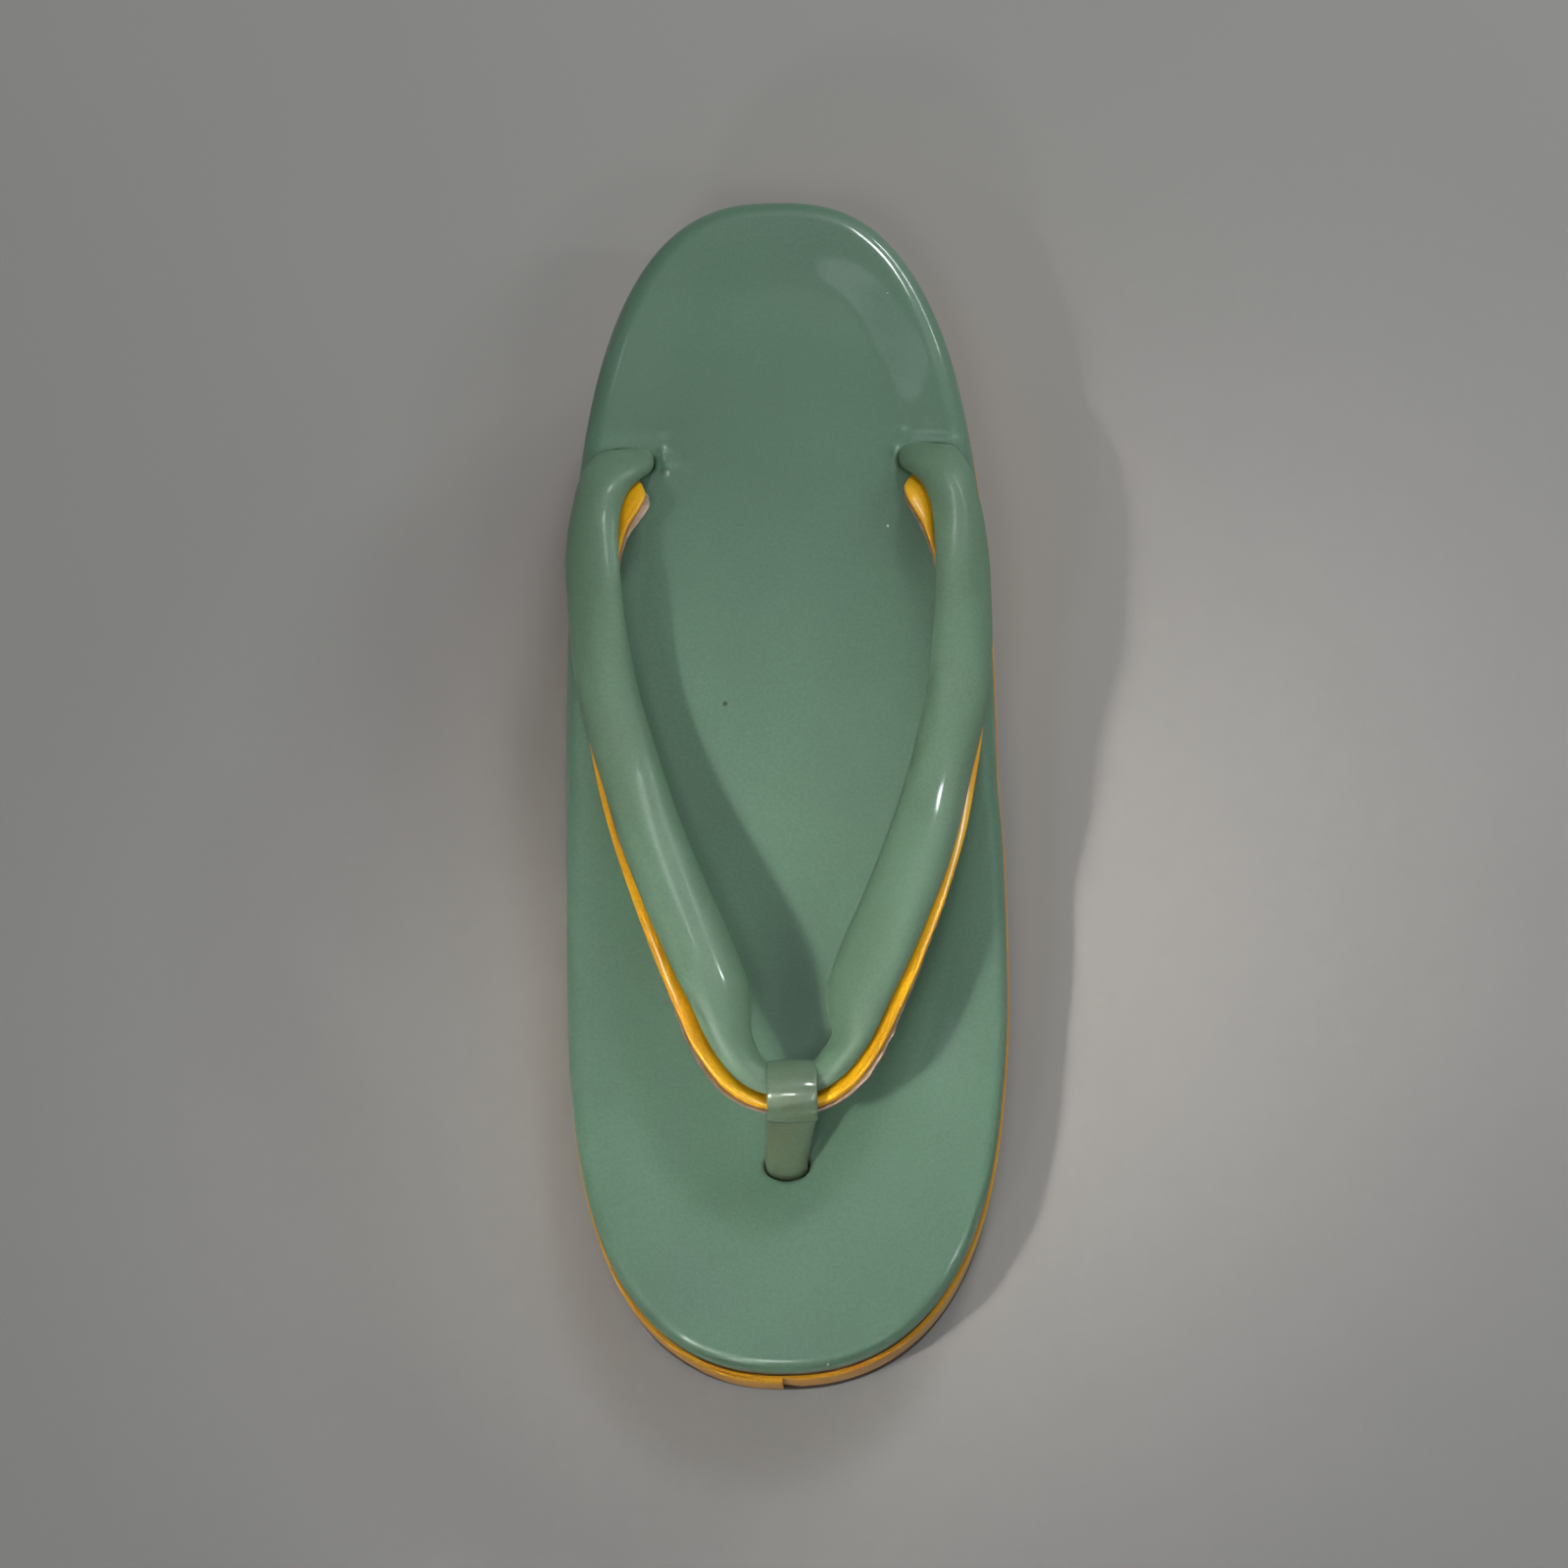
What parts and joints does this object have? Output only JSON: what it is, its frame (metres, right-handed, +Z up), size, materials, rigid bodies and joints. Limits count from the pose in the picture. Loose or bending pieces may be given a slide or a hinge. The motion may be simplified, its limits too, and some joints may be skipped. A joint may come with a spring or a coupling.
{
  "type": "zori sandal",
  "caption": "Padded vinyl zori sandal on a wrapped wedge sole, with a lined V strap, rear strap slots and a looped toe post.",
  "frame": {"origin": "on the floor, under the middle of the sandal's bounding box", "axes": "+Y from the toe to the heel, +Z up from the floor, +X across the sole to the wearer's left"},
  "size_m": [0.0876, 0.2408, 0.053],
  "materials": {
    "green_vinyl": "smooth glossy sage-green vinyl over soft padding",
    "yellow_vinyl": "smooth semi-gloss amber-yellow vinyl",
    "brown_rubber": "dark brown moulded rubber, dull",
    "cork_body": "light pressed cork and foam body, hidden by the wrap"
  },
  "bodies": {
    "root": {"outsole": "brown_rubber", "wedge": "cork_body", "side_wrap": "yellow_vinyl", "footbed": "green_vinyl", "strap": "green_vinyl", "strap_lining": "yellow_vinyl", "toe_post": "green_vinyl"}
  },
  "joints": []
}
